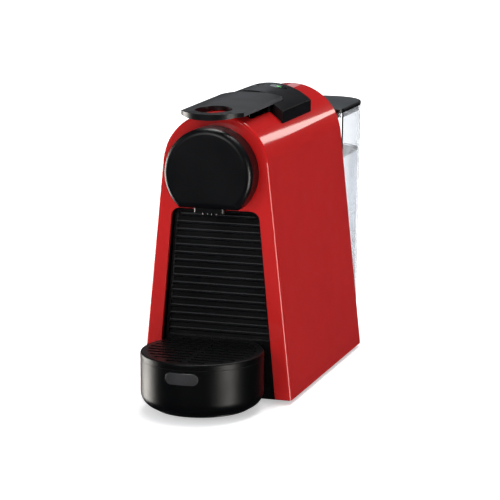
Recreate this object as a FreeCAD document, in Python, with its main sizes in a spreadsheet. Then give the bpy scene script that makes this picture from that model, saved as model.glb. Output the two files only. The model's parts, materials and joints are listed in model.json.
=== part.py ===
import FreeCAD, Part
import math
import os
import re
import sys

import Sketcher

# Capsule espresso machine, in millimetres. +Z is up, the cup side faces -Y, and the origin is the
# centre of the footprint, on the surface that the machine stands on.

DIMENSIONS = [
    # arch-shaped housing
    ("body_half", 55), ("front_y", -93), ("rear_y", 84), ("skirt_z", 3), ("arch_radius", 38.5),
    ("arch_z", 161.4), ("wall", 2.5), ("edge_round", 2.2), ("panel_gap", 0.4),
    ("slot_half", 20.2),
    # cup niche in the front wall
    ("niche_low", 43.2), ("niche_high", 32), ("niche_knee", 128), ("niche_top", 133.3),
    ("niche_corner", 6.5), ("niche_wall", 1.8), ("rib_pitch", 5.4), ("rib_low", 46),
    ("rib_count", 16),
    # round brew head cover and double spout
    ("head_radius", 31.6), ("head_z", 159.7), ("head_front", -110), ("head_wall", 2),
    ("head_round", 4.6), ("head_flat", 136), ("spout_half", 11), ("spout_x", 3.1),
    ("spout_low", 131.6), ("spout_top", 146),
    # saddle over the arch, which carries the lever and the buttons
    ("saddle_half", 29.8), ("saddle_radius", 44.5), ("saddle_front", -35), ("saddle_rear", 33),
    ("saddle_skin", 2), ("saddle_seat", 0.1), ("leg_inner", 23.2),
    # lever, its pivot and its cams
    ("pivot_y", -28), ("pivot_z", 192.5), ("knuckle", 17.4), ("knuckle_gap", 0.4),
    ("pin_radius", 1.6), ("running_gap", 0.05), ("lever_half", 22.5), ("lever_tip", -113),
    ("tip_arc", 24), ("dip_y", -104), ("tip_top", 201.2), ("tip_edge", 200.2),
    ("tip_under", 197), ("front_top", 202.6), ("front_edge", 201.2), ("front_under", 198.5),
    ("rear_top", 205.4), ("rear_edge", 202.3), ("rear_under", 199.3), ("grip_y", -95.2),
    ("grip_radius", 12.7), ("grip_stretch", 0.8), ("lever_clear", 0.5), ("hub_radius", 4),
    ("hub_inner", 19.9), ("cam_inner", 17.4), ("cam_outer", 19.6), ("lever_angle", 86),
    # capsule cage, which slides on the axis of the brew head
    ("cage_travel", 30), ("cage_front", -72), ("cage_rear", -42), ("cage_radius", 17),
    ("cage_bore", 15.2), ("cage_lip", 19), ("sleeve_radius", 6), ("sleeve_rear", -10),
    ("tube_radius", 3), ("yoke_y", -58), ("yoke_low", 150), ("yoke_high", 187.5),
    ("yoke_inner", 20.2), ("yoke_outer", 22.2), ("follower_z", 184.5), ("follower_radius", 2),
    ("slot_gap", 0.3), ("chute_front", -75.4), ("chute_rear", -64.4), ("chute_low", 184),
    ("chute_top", 194), ("chute_wall", 1.2),
    # frame inside the housing
    ("base_low", 1), ("base_top", 5), ("screw_x", 34.5), ("chassis_inner", 29), ("chassis_outer", 31),
    ("chassis_front", -80), ("chassis_rear", 6), ("chassis_top", 133), ("frame_inner", 23.4),
    ("frame_outer", 25.4), ("frame_top", 183), ("brew_z", 152),
    # drip tray with its grid, and the capsule container behind it
    ("tray_radius", 42), ("tray_y", -120.2), ("tray_back", -87), ("tray_top", 36.8),
    ("tray_wall", 2.2), ("tray_foot", 33.6), ("tray_bowl", 10.2), ("tray_floor", 9),
    ("tray_low", 2.9), ("grid_low", 37), ("grid_top", 41.3), ("grid_rim", 3.6),
    ("grid_pitch", 6.8), ("grid_slot", 3),
    ("bin_half", 27), ("bin_rear", -24), ("bin_low", 9), ("bin_top", 118), ("bin_wall", 2),
    ("badge_z", 31), ("badge_half", 11.7), ("badge_round", 4),
    ("front_low", 5.6), ("front_y_face", -86.6), ("front_fit", 0.8),
    # water tank, its dock and its lid
    ("tank_front", 85.4), ("tank_half_top", 38), ("tank_half_low", 36), ("tank_corner", 28),
    ("tank_front_corner", 5), ("tank_rear", 162.3), ("tank_low", 19), ("tank_top", 177.7),
    ("tank_wall", 1.8), ("tank_floor", 21.4), ("lid_rear", 162.5), ("lid_low", 178),
    ("lid_top", 180.7), ("lid_skirt", 173.7), ("dock_top", 18.6), ("valve_x", 18),
    ("valve_y", 104), ("inlet_z", 11), ("hinge_y", 87.4), ("hinge_z", 179.6),
    ("lid_knuckle", 1.7), ("lid_pin_radius", 1),
    # buttons
    ("button_x", 9), ("button_y", 20), ("button_radius", 6.2), ("button_gap", 0.3),
    ("board_z", 184),
    # pump, heater and water circuit
    ("pump_x", -12), ("pump_z", 32), ("pump_radius", 9), ("pump_front", 0), ("pump_back", 66),
    ("piston_radius", 5), ("meter_x", 22), ("meter_y", 40), ("meter_low", 18),
    ("meter_radius", 14), ("heater_low", 98), ("heater_top", 124), ("cord_radius", 3.5),
    ("cord_x", -45), ("cord_z", 12),
]

doc = FreeCAD.newDocument("CapsuleEspressoMachine")
dims = doc.addObject("Spreadsheet::Sheet", "Dims")
for row, (alias, value) in enumerate(DIMENSIONS, start=1):
    dims.set("A%d" % row, alias)
    dims.set("B%d" % row, str(value))
    dims.setAlias("B%d" % row, alias)
doc.recompute()

pieces = []
V = FreeCAD.Vector


# ---------------------------------------------------------------- helpers

def bound(text):
    """The expression text with each size's name pointed at the sheet."""
    return re.sub(r"\b(?=\w*_|wall|knuckle)([a-z]\w+)\b", r"Dims.\1", str(text))


def val(text):
    """The expression's present value, in millimetres or degrees."""
    result = dims.evalExpression(bound(text))
    return float(getattr(result, "Value", result))


def bind(thing, prop, text):
    thing.setExpression(prop, bound(text))


def keep(thing, label):
    """Name a finished sub-part and list it for export."""
    thing.Label = label
    pieces.append(thing)
    return thing


def add(kind):
    return doc.addObject(kind, kind.split("::")[1])


def box(low, high):
    """A Part::Box between two corners given as expressions."""
    solid = add("Part::Box")
    for prop, axis, start, end in zip(("Length", "Width", "Height"), "xyz", low, high):
        bind(solid, prop, "(%s) - (%s)" % (end, start))
        bind(solid, "Placement.Base." + axis, start)
    return solid


TURNS = {"x": FreeCAD.Rotation(V(0, 1, 0), 90), "y": FreeCAD.Rotation(V(1, 0, 0), -90),
         "z": FreeCAD.Rotation()}


def rod(axis, radius, centre, start, end):
    """A Part::Cylinder along an axis from start to end; centre gives the other two places."""
    solid = add("Part::Cylinder")
    solid.Placement.Rotation = TURNS[axis]
    others = [name for name in "xyz" if name != axis]
    bind(solid, "Radius", radius)
    bind(solid, "Height", "(%s) - (%s)" % (end, start))
    bind(solid, "Placement.Base." + axis, start)
    for name, place in zip(others, centre):
        bind(solid, "Placement.Base." + name, place)
    return solid


def cut(base, *tools):
    for tool in tools:
        result = add("Part::Cut")
        result.Base = base
        result.Tool = tool
        base = result
    return base


def fuse(*solids):
    result = add("Part::MultiFuse")
    result.Shapes = list(solids)
    result.Refine = True
    return result


def common(*solids):
    result = add("Part::MultiCommon")
    result.Shapes = list(solids)
    return result


def group(*solids):
    """Separate identical solids that share one node."""
    result = add("Part::Compound")
    result.Links = list(solids)
    return result


def soften(base, radius, chosen):
    """A Part::Fillet on the edges of base that the test picks."""
    doc.recompute()
    result = add("Part::Fillet")
    result.Base = base
    size = val(radius)
    result.Edges = [(n, size, size) for n, edge in enumerate(base.Shape.Edges, 1) if chosen(edge)]
    return result


def body():
    return add("PartDesign::Body")


def sketch(owner, role, offset):
    """A sketch on one of the body's own origin planes, moved along the plane's normal."""
    result = owner.newObject("Sketcher::SketchObject", "Sketch")
    plane = next(f for f in owner.Origin.OriginFeatures if f.Role == role)
    result.AttachmentSupport = [(plane, "")]
    result.MapMode = "FlatFace"
    bind(result, "AttachmentOffset.Base.z", offset)
    return result


def pin(flat, geometry, end, place):
    """Hold one point of a sketch at a place given by two expressions."""
    for kind, text in zip(("DistanceX", "DistanceY"), place):
        index = flat.addConstraint(Sketcher.Constraint(kind, -1, 1, geometry, end, val(text)))
        bind(flat, "Constraints[%d]" % index, text)


def limit(flat, kind, geometry, text):
    index = flat.addConstraint(Sketcher.Constraint(kind, geometry, val(text)))
    bind(flat, "Constraints[%d]" % index, text)


def arc_between(start, end, radius, left):
    """The shorter arc from start to end; left says that its centre is on the path's left."""
    chord = end - start
    reach = math.sqrt(max(radius ** 2 - (chord.Length / 2) ** 2, 0))
    side = V(-chord.y, chord.x, 0).normalize() * (reach if left else -reach)
    centre = (start + end) * 0.5 + side
    first, last = (start, end) if left else (end, start)
    angles = [math.atan2(p.y - centre.y, p.x - centre.x) for p in (first, last)]
    return Part.ArcOfCircle(Part.Circle(centre, V(0, 0, 1), radius), *angles)


def outline(flat, corners):
    """A closed outline. A corner is (x, y), or (x, y, radius, left) where an arc leaves it."""
    spots = [V(val(corner[0]), val(corner[1]), 0) for corner in corners]
    first = flat.GeometryCount
    ends = []
    for number, corner in enumerate(corners):
        start, end = spots[number], spots[(number + 1) % len(spots)]
        if len(corner) == 2:
            flat.addGeometry(Part.LineSegment(start, end), False)
            ends.append((1, 2))
        else:
            flat.addGeometry(arc_between(start, end, val(corner[2]), corner[3]), False)
            ends.append((1, 2) if corner[3] else (2, 1))
    for number in range(len(corners)):
        after = (number + 1) % len(corners)
        flat.addConstraint(Sketcher.Constraint("Coincident", first + number, ends[number][1],
                                               first + after, ends[after][0]))
    for number, corner in enumerate(corners):
        pin(flat, first + number, ends[number][0], corner[:2])
        if len(corner) > 2:
            limit(flat, "Radius", first + number, corner[2])


def circle(flat, place, radius):
    centre = V(val(place[0]), val(place[1]), 0)
    number = flat.addGeometry(Part.Circle(centre, V(0, 0, 1), val(radius)), False)
    pin(flat, number, 3, place)
    limit(flat, "Radius", number, radius)


def offset_for(role, low, high):
    """Where the sketch of an extrusion from low to high lies along its plane's normal."""
    return "-(%s)" % high if role == "XZ_Plane" else low


def extrude(owner, role, low, high, draw, removes=False):
    """Pad (or Pocket) what draw puts on a sketch, from low to high along the plane's axis."""
    before = owner.Shape.Volume if owner.Tip else 0
    flat = sketch(owner, role, offset_for(role, low, high))
    draw(flat)
    feature = owner.newObject("PartDesign::Pocket" if removes else "PartDesign::Pad", "Extrusion")
    feature.Profile = flat
    feature.Reversed = removes
    bind(feature, "Length", "(%s) - (%s)" % (high, low))
    doc.recompute()
    if removes and owner.Shape.Volume >= before - 0.01:
        sys.exit("a pocket of %s cuts nothing" % owner.Name)
    return feature


def pocket(owner, role, low, high, draw):
    return extrude(owner, role, low, high, draw, removes=True)


def rounded(owner, radius, chosen):
    """A PartDesign::Fillet on the edges of the body's last feature that the test picks."""
    doc.recompute()
    base = owner.Tip
    names = ["Edge%d" % n for n, edge in enumerate(base.Shape.Edges, 1) if chosen(edge)]
    feature = owner.newObject("PartDesign::Fillet", "Fillet")
    feature.Base = (base, names)
    bind(feature, "Radius", radius)
    doc.recompute()
    return feature


def loft(owner, role, sections):
    """An additive loft through sketches at given places along the axis."""
    flats = []
    for place, draw in sections:
        flat = sketch(owner, role, "-(%s)" % place if role == "XZ_Plane" else place)
        draw(flat)
        flats.append(flat)
    feature = owner.newObject("PartDesign::AdditiveLoft", "Loft")
    feature.Profile = flats[0]
    feature.Sections = flats[1:]
    feature.Ruled = True
    doc.recompute()
    return feature


def tube(points, radius, bend):
    """A hose as a solid round bar along straight runs joined by tangent arcs."""
    places = [V(*[val(part) for part in point]) for point in points]
    edges = []
    start = places[0]
    for before, corner, after in zip(places, places[1:], places[2:]):
        into, out = (corner - before).normalize(), (after - corner).normalize()
        half = into.getAngle(out) / 2
        reach = bend * math.tan(half)
        first, last = corner - into * reach, corner + out * reach
        middle = corner + (out - into).normalize() * (bend / math.cos(half) - bend)
        edges += [Part.LineSegment(start, first).toShape(), Part.Arc(first, middle, last).toShape()]
        start = last
    edges.append(Part.LineSegment(start, places[-1]).toShape())
    path = Part.Wire(edges)
    ring = Part.Wire(Part.Circle(places[0], places[1] - places[0], radius).toShape())
    shape = path.makePipeShell([ring], True, True)
    result = add("Part::Feature")
    result.Shape = shape
    result.Placement = FreeCAD.Placement()
    expected = math.pi * radius ** 2 * path.Length
    if abs(shape.Volume - expected) > 0.02 * expected:
        sys.exit("a hose has the wrong volume")
    return result


def near(value, target, margin=0.05):
    return abs(value - target) < margin


def along(edge, axis):
    """Whether an edge is straight and runs along an axis."""
    if edge.Curve.TypeId != "Part::GeomLine":
        return False
    direction = edge.Curve.Direction
    return abs(abs(getattr(direction, axis)) - 1) < 1e-6


def flat_at(edge, axis, value):
    """Whether an edge lies in the plane where axis equals value."""
    span = edge.BoundBox
    low, high = getattr(span, axis.upper() + "Min"), getattr(span, axis.upper() + "Max")
    return near(low, value) and near(high, value)


# ---------------------------------------------------------------- shared outlines

def arch(half, base, radius):
    """The housing's outline: straight sides that run tangent into a round top."""
    rise = "(arch_z - (%s))" % base
    turn = "(atan2((%s); %s) + acos((%s) / sqrt((%s)^2 + %s^2)))" % (half, rise, radius, half, rise)
    across = "(%s) * sin(%s)" % (radius, turn)
    height = "arch_z - (%s) * cos(%s)" % (radius, turn)

    def draw(flat):
        outline(flat, [("-(%s)" % half, base), (half, base), (across, height, radius, True),
                       ("0", "arch_z + %s" % radius, radius, True), ("-(%s)" % across, height)])
    return draw


def housing_arch(inset, base):
    """The housing's outline drawn in by inset, with its lower edge at base."""
    slope = "((body_half - arch_radius) / (arch_z - skirt_z))"
    half = "body_half - (%s) - ((%s) - skirt_z) * %s * 0.68" % (inset, base, slope)
    return arch(half, base, "(arch_radius - (%s))" % inset)


def niche(inset, base):
    """The cup niche's outline, drawn in by inset, with its lower edge at base."""
    lean = "atan((niche_low - niche_high) / (niche_knee - skirt_z))"
    corner_x = ("(niche_high + (niche_knee - niche_top + niche_corner - niche_corner * sin(%s))"
                " * tan(%s) - niche_corner * cos(%s))" % (lean, lean, lean))
    radius = "(niche_corner - (%s))" % inset
    side_x = "(%s + %s * cos(%s))" % (corner_x, radius, lean)
    side_z = "(niche_top - niche_corner + %s * sin(%s))" % (radius, lean)
    foot = "(niche_high + (niche_knee - (%s)) * tan(%s) - (%s) / cos(%s))" % (base, lean, inset,
                                                                            lean)

    def draw(flat):
        outline(flat, [("-" + foot, base), (foot, base), (side_x, side_z, radius, True),
                       (corner_x, "niche_top - (%s)" % inset),
                       ("-" + corner_x, "niche_top - (%s)" % inset, radius, True),
                       ("-" + side_x, side_z)])
    return draw


def rectangle(x_low, y_low, x_high, y_high):
    def draw(flat):
        outline(flat, [(x_low, y_low), (x_high, y_low), (x_high, y_high), (x_low, y_high)])
    return draw


def disc(x, y, radius):
    def draw(flat):
        circle(flat, (x, y), radius)
    return draw


def band(half, inner, outer):
    """A strip of the arch between two radii, cut off upright at both sides."""
    low = "arch_z + sqrt((%s)^2 - (%s)^2)" % (inner, half)
    high = "arch_z + sqrt((%s)^2 - (%s)^2)" % (outer, half)

    def draw(flat):
        outline(flat, [("-(%s)" % half, low, inner, False), (half, low), (half, high, outer, True),
                       ("-(%s)" % half, high)])
    return draw


def tongue(front, half, rear, inset):
    """The tank's plan: rounded corners, larger at the rear, all drawn in by inset."""
    corner = "(tank_front_corner - (%s))" % inset
    turn = "(tank_corner - (%s))" % inset
    inner = "((%s) - (%s))" % (half, corner)
    start = "((%s) + (%s))" % (front, corner)
    rear_inner = "((%s) - (%s))" % (half, turn)
    finish = "((%s) - (%s))" % (rear, turn)

    def draw(flat):
        outline(flat, [("-" + inner, front), (inner, front, corner, True), (half, start),
                       (half, finish, turn, True), (rear_inner, rear),
                       ("-" + rear_inner, rear, turn, True),
                       ("-(%s)" % half, finish), ("-(%s)" % half, start, corner, True)])
    return draw


# ---------------------------------------------------------------- housing and covers

def make_housing():
    shell = body()
    extrude(shell, "XZ_Plane", "front_y", "rear_y", housing_arch("0", "skirt_z"))
    front, rear, skirt = val("front_y"), val("rear_y"), val("skirt_z")
    rounded(shell, "edge_round", lambda e: (flat_at(e, "y", front) or flat_at(e, "y", rear))
            and not flat_at(e, "z", skirt))
    pocket(shell, "XZ_Plane", "front_y + wall", "rear_y", housing_arch("wall", "skirt_z"))
    pocket(shell, "XZ_Plane", "front_y - 1", "front_y + wall + 1", niche("0", "skirt_z"))
    pocket(shell, "XZ_Plane", "front_y - 1", "front_y + wall + 1", disc("0", "head_z", "19.6"))
    pocket(shell, "XY_Plane", "arch_z", "arch_z + saddle_radius",
           rectangle("-slot_half", "-75.8", "slot_half", "saddle_front + 1"))
    pocket(shell, "XY_Plane", "arch_z", "arch_z + saddle_radius",
           rectangle("-leg_inner - 2", "saddle_front + 0.4", "leg_inner + 2",
                     "pivot_y + knuckle + 0.8"))
    pocket(shell, "XY_Plane", "arch_z", "arch_z + saddle_radius",
           rectangle("-17", "button_y - 9", "17", "button_y + 9"))
    keep(shell, "housing")


def make_rear_panel():
    panel = body()
    extrude(panel, "XZ_Plane", "rear_y - 3.6", "rear_y - 0.4",
            housing_arch("wall + panel_gap", "base_top + 0.2"))
    pocket(panel, "XZ_Plane", "rear_y - 5", "rear_y", disc("cord_x", "cord_z", "5.3"))
    pocket(panel, "XZ_Plane", "rear_y - 5", "rear_y", disc("valve_x", "inlet_z", "4.4"))
    keep(panel, "rear_panel")


def make_niche_frame():
    frame = body()
    extrude(frame, "XZ_Plane", "front_y + wall + 0.1", "chassis_front - 0.2",
            niche("-niche_wall", "base_top + 0.3"))
    pocket(frame, "XZ_Plane", "front_y", "chassis_front + 1", niche("0.2", "base_top - 1"))
    keep(frame, "niche_frame")


def make_brew_head_cover():
    cover = body()
    extrude(cover, "XZ_Plane", "head_front", "front_y - 0.1", disc("0", "head_z", "head_radius"))
    pocket(cover, "XZ_Plane", "head_front - 1", "front_y + 1",
           rectangle("-40", "head_z - 40", "40", "head_flat"))
    front = val("head_front")
    rounded(cover, "head_round", lambda e: flat_at(e, "y", front))
    inside = "head_radius - head_wall"
    reach = "sqrt((%s)^2 - (head_z - head_flat - head_wall)^2)" % inside

    def hollow(flat):
        outline(flat, [("-" + reach, "head_flat + head_wall"),
                       (reach, "head_flat + head_wall", inside, True),
                       ("0", "head_z + %s" % inside, inside, True)])
    pocket(cover, "XZ_Plane", "head_front + head_wall + 1", "front_y + 1", hollow)
    pocket(cover, "XY_Plane", "head_flat - 1", "head_flat + 6",
           rectangle("-spout_half - 0.3", "-107.3", "spout_half + 0.3", "-97.7"))
    keep(cover, "brew_head_cover")


def make_coffee_outlet():
    block = soften(box(("-spout_half", "-107", "spout_low + 1.6"), ("spout_half", "-98", "spout_top")),
                   "3", lambda e: along(e, "z"))
    places = ("-spout_x", "spout_x")
    nozzles = [rod("z", "2.7", (x, "-102.5"), "spout_low", "spout_low + 4") for x in places]
    drains = [rod("z", "1.5", (x, "-102.5"), "spout_low - 1", "spout_top + 1") for x in places]
    keep(cut(fuse(block, *nozzles), *drains), "coffee_outlet")


def make_outlet_channel():
    pipe = rod("y", "5", ("0", "brew_z"), "-104", "-79.2")
    drop = rod("z", "4", ("0", "-101.5"), "146.2", "brew_z")
    bore = rod("y", "3", ("0", "brew_z"), "-101.5", "-78")
    drain = rod("z", "2.4", ("0", "-101.5"), "145", "brew_z")
    keep(cut(fuse(pipe, drop), bore, drain), "outlet_channel")


def make_saddle():
    cover = body()
    inner = "(arch_radius + saddle_seat)"
    extrude(cover, "XZ_Plane", "saddle_front", "saddle_rear",
            band("saddle_half", inner, "saddle_radius"))
    swing = "(knuckle + knuckle_gap)"

    def well(flat):
        outline(flat, [("saddle_front - 1", "pivot_z - %s" % swing),
                       ("pivot_y", "pivot_z - %s" % swing, swing, True),
                       ("pivot_y + %s" % swing, "pivot_z", swing, True),
                       ("pivot_y", "pivot_z + %s" % swing),
                       ("saddle_front - 1", "pivot_z + %s" % swing)])
    pocket(cover, "YZ_Plane", "-leg_inner", "leg_inner", well)
    pocket(cover, "XZ_Plane", "pivot_y + knuckle + 5", "saddle_rear - saddle_skin",
           band("saddle_half - saddle_skin", inner, "saddle_radius - saddle_skin"))
    pocket(cover, "YZ_Plane", "-saddle_half + 1.8", "saddle_half - 1.8",
           disc("pivot_y", "pivot_z", "pin_radius"))
    for x in ("-button_x", "button_x"):
        pocket(cover, "XY_Plane", "arch_z + 20", "arch_z + 50",
               disc(x, "button_y", "button_radius + button_gap"))
    rear, front = val("saddle_rear"), val("saddle_front")
    half = val("saddle_half")
    rounded(cover, "0.8", lambda e: (along(e, "y") and near(abs(e.CenterOfMass.x), half)
                                     and e.CenterOfMass.z > 190 and e.Length > 40)
            or (flat_at(e, "y", rear) and e.Length > 60 and e.BoundBox.ZMax > 205))
    keep(cover, "saddle")


# ---------------------------------------------------------------- lever

def crown(under, edge, centre):
    """The lever's cross-section: flat underside, upright sides and a gently crowned top."""
    rise = "((%s) - (%s))" % (centre, edge)
    radius = "((lever_half^2 + %s^2) / (2 * %s))" % (rise, rise)

    def draw(flat):
        outline(flat, [("-lever_half", under), ("lever_half", under),
                       ("lever_half", edge, radius, True), ("-lever_half", edge)])
    return draw


def beyond_knuckle(flat):
    """Everything behind the round end that rolls inside the saddle."""
    outline(flat, [("pivot_y", "pivot_z + knuckle", "knuckle", False),
                   ("pivot_y + knuckle", "pivot_z"), ("pivot_y + 30", "pivot_z"),
                   ("pivot_y + 30", "pivot_z + 30"), ("pivot_y", "pivot_z + 30")])


def beyond_tip(flat):
    """Everything in front of the lever's rounded tip."""
    clear = "(lever_half + 2)"
    shoulder = "lever_tip + tip_arc - sqrt(tip_arc^2 - lever_half^2)"
    outline(flat, [("-" + clear, "lever_tip - 2"), (clear, "lever_tip - 2"), (clear, shoulder),
                   ("lever_half", shoulder, "tip_arc", False),
                   ("0", "lever_tip", "tip_arc", False), ("-lever_half", shoulder),
                   ("-" + clear, shoulder)])


def grip_hole(flat):
    front, rear = "grip_y - grip_stretch / 2", "grip_y + grip_stretch / 2"
    outline(flat, [("grip_radius", front), ("grip_radius", rear, "grip_radius", True),
                   ("0", rear + " + grip_radius", "grip_radius", True), ("-grip_radius", rear),
                   ("-grip_radius", front, "grip_radius", True),
                   ("0", front + " - grip_radius", "grip_radius", True)])


def ear(flat):
    """The lug that carries the pin, with a round lower end."""
    outline(flat, [("pivot_y - hub_radius", "pivot_z", "hub_radius", True),
                   ("pivot_y", "pivot_z - hub_radius", "hub_radius", True),
                   ("pivot_y + hub_radius", "pivot_z"), ("pivot_y + hub_radius", "rear_under + 1"),
                   ("pivot_y - hub_radius", "rear_under + 1")])


def make_lever():
    lever = body()
    loft(lever, "XZ_Plane", [
        ("pivot_y + knuckle", crown("rear_under", "rear_edge", "rear_top")),
        ("dip_y", crown("front_under", "front_edge", "front_top")),
        ("lever_tip", crown("tip_under", "tip_edge", "tip_top"))])
    sides = "-lever_half - 1", "lever_half + 1"
    pocket(lever, "YZ_Plane", *sides, beyond_knuckle)
    pocket(lever, "XY_Plane", "pivot_z", "pivot_z + 20", beyond_tip)
    pocket(lever, "XY_Plane", "pivot_z", "pivot_z + 20", grip_hole)
    pocket(lever, "XZ_Plane", "front_y - 0.6", "saddle_rear",
           disc("0", "arch_z", "arch_radius + lever_clear"))
    for low, high in (("-lever_half + 0.2", "-hub_inner"), ("hub_inner", "lever_half - 0.2")):
        extrude(lever, "YZ_Plane", low, high, ear)
    pocket(lever, "YZ_Plane", *sides, disc("pivot_y", "pivot_z", "pin_radius + running_gap"))
    keep(lever, "lever")


def cam_path(steps):
    """Places of the cage's follower as the lever sees them, while the lever turns."""
    ratio = val("cage_travel") / math.radians(val("lever_angle"))
    places = []
    for step in range(steps + 1):
        turn = math.radians(val("lever_angle")) * step / steps
        y = val("yoke_y") - val("pivot_y") + ratio * turn
        z = val("follower_z") - val("pivot_z")
        places.append(V(0, y * math.cos(turn) - z * math.sin(turn),
                        y * math.sin(turn) + z * math.cos(turn)))
    return places


def cam_strip(places, half):
    """A closed face of constant width along the follower's path, with round ends."""
    spine = Part.BSplineCurve()
    spine.interpolate(places)
    sides = ([], [])
    samples = 24
    for step in range(samples + 1):
        at = spine.FirstParameter + (spine.LastParameter - spine.FirstParameter) * step / samples
        point = spine.value(at)
        across = V(1, 0, 0).cross(spine.tangent(at)[0]).normalize() * half
        sides[0].append(point + across)
        sides[1].append(point - across)
    curves = []
    for side in sides:
        curve = Part.BSplineCurve()
        curve.interpolate(side)
        curves.append(curve.toShape())
    start, end = places[0], places[-1]
    nose = start - spine.tangent(spine.FirstParameter)[0] * half
    tail = end + spine.tangent(spine.LastParameter)[0] * half
    caps = [Part.Arc(sides[0][0], nose, sides[1][0]).toShape(),
            Part.Arc(sides[0][-1], tail, sides[1][-1]).toShape()]
    return Part.Face(Part.Wire(Part.__sortEdges__(curves + caps)))


def make_lever_cams():
    """Two cams; the slot in each moves the cage in step with the lever's angle."""
    places = cam_path(12)
    slot_half = val("follower_radius + slot_gap")
    thick = val("cam_outer - cam_inner")
    pivot = V(0, val("pivot_y"), val("pivot_z"))
    rim = cam_strip(places, slot_half + 2.4).extrude(V(thick, 0, 0))
    hub = Part.makeCylinder(val("hub_radius") + 0.3, thick, V(), V(1, 0, 0))
    web = Part.makeBox(thick, 14, 9, V(0, -7, -9))
    slot = cam_strip(places, slot_half).extrude(V(3 * thick, 0, 0))
    slot.translate(V(-thick, 0, 0))
    bore = Part.makeCylinder(val("pin_radius + running_gap"), 3 * thick, V(-thick, 0, 0),
                             V(1, 0, 0))
    shape = rim.fuse([hub, web]).removeSplitter().cut([slot, bore])
    for name, x in (("lever_cam_left", "-cam_outer"), ("lever_cam_right", "cam_inner")):
        cam = add("Part::Feature")
        cam.Shape = shape
        cam.Placement = FreeCAD.Placement(pivot + V(val(x), 0, 0), FreeCAD.Rotation())
        keep(cam, name)


def make_lever_pin():
    keep(rod("x", "pin_radius", ("pivot_y", "pivot_z"), "-saddle_half + 2", "saddle_half - 2"),
         "lever_pin")


# ---------------------------------------------------------------- brew unit

def make_brew_frames():
    for name, side in (("brew_frame_left", -1), ("brew_frame_right", 1)):
        inner, outer = sorted(("%d * frame_inner" % side, "%d * frame_outer" % side), key=val)
        foot = "%d * chassis_outer" % side
        foot_low, foot_high = sorted((foot, "%d * frame_inner" % side), key=val)
        plate = box((inner, "chassis_front", "chassis_top + 0.1"),
                    (outer, "chassis_rear - 2", "frame_top"))
        flange = box((foot_low, "chassis_front", "chassis_top + 0.1"),
                     (foot_high, "chassis_rear - 2", "chassis_top + 2.1"))
        reach = "(follower_radius + slot_gap)"
        slot = box((inner + " - 1", "yoke_y", "head_z - %s" % reach),
                   (outer + " + 1", "yoke_y + cage_travel", "head_z + %s" % reach))
        ends = [rod("x", reach, (y, "head_z"), inner + " - 1", outer + " + 1")
                for y in ("yoke_y", "yoke_y + cage_travel")]
        keep(cut(fuse(plate, flange), slot, *ends), name)


def make_brew_front_block():
    block = soften(box(("-frame_inner", "-79", "137"), ("frame_inner", "-76", "frame_top")), "3",
                   lambda e: along(e, "y"))
    keep(cut(block, rod("y", "3.2", ("0", "brew_z"), "-80", "-75")), "brew_front_block")


def make_extraction_plate():
    """A disc with a square field of small pyramids that open the capsule's foil."""
    plate = rod("y", "18.6", ("0", "head_z"), "-75.9", "-73.8")
    studs = []
    pitch = 4.4
    for column in range(-3, 4):
        for row in range(-3, 4):
            if math.hypot(column, row) * pitch < 13.6:
                stud = add("Part::Cone")
                stud.Radius1 = 1.5
                stud.Radius2 = 0.5
                stud.Height = 1.2
                stud.Placement.Rotation = TURNS["y"]
                bind(stud, "Placement.Base.x", "%g" % (column * pitch))
                bind(stud, "Placement.Base.y", "-74")
                bind(stud, "Placement.Base.z", "head_z + %g" % (row * pitch))
                studs.append(stud)
    keep(cut(fuse(plate, *studs), rod("y", "2.6", ("0", "brew_z"), "-77", "-72")),
         "extraction_plate")


def make_brew_seal():
    ring = rod("y", "18.4", ("0", "head_z"), "-73.7", "cage_front - 0.4")
    keep(cut(ring, rod("y", "15.8", ("0", "head_z"), "-75", "-70")), "brew_seal")


def make_capsule_cage():
    cup = body()

    def profile(flat):
        outline(flat, [("cage_bore", "cage_front"), ("cage_lip", "cage_front"),
                       ("cage_lip", "cage_front + 2.6"), ("cage_radius", "cage_front + 3.6"),
                       ("cage_radius", "cage_rear"), ("sleeve_radius", "cage_rear + 1.5"),
                       ("sleeve_radius", "sleeve_rear"), ("tube_radius + running_gap",
                                                         "sleeve_rear"),
                       ("tube_radius + running_gap", "cage_rear - 2"), ("0.9", "cage_rear - 2"),
                       ("0.9", "cage_rear - 3.4"), ("cage_bore - 2.4", "cage_rear - 3.4"),
                       ("cage_bore - 1.6", "cage_front + 5")])
    flat = sketch(cup, "XY_Plane", "head_z")
    profile(flat)
    turned = cup.newObject("PartDesign::Revolution", "Revolution")
    turned.Profile = flat
    turned.ReferenceAxis = (flat, ["V_Axis"])
    turned.Angle = 360
    doc.recompute()
    for side in (-1, 1):
        low, high = sorted(("%d * (cage_radius - 0.9)" % side, "%d * (yoke_inner - 0.1)" % side),
                           key=val)
        extrude(cup, "YZ_Plane", low, high, disc("yoke_y", "head_z", "4"))
    keep(cup, "capsule_cage")


def make_piercing_needles():
    blades = []
    for angle in (90, 210, 330):
        x = 6.5 * math.cos(math.radians(angle))
        z = 6.5 * math.sin(math.radians(angle))
        blade = add("Part::Cone")
        blade.Radius1 = 1.3
        blade.Radius2 = 0.3
        blade.Height = 5
        blade.Placement.Rotation = FreeCAD.Rotation(V(1, 0, 0), 90)
        bind(blade, "Placement.Base.x", "%g" % x)
        bind(blade, "Placement.Base.y", "cage_rear - 3.5")
        bind(blade, "Placement.Base.z", "head_z + %g" % z)
        blades.append(blade)
    keep(group(*blades), "piercing_needles")


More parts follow.
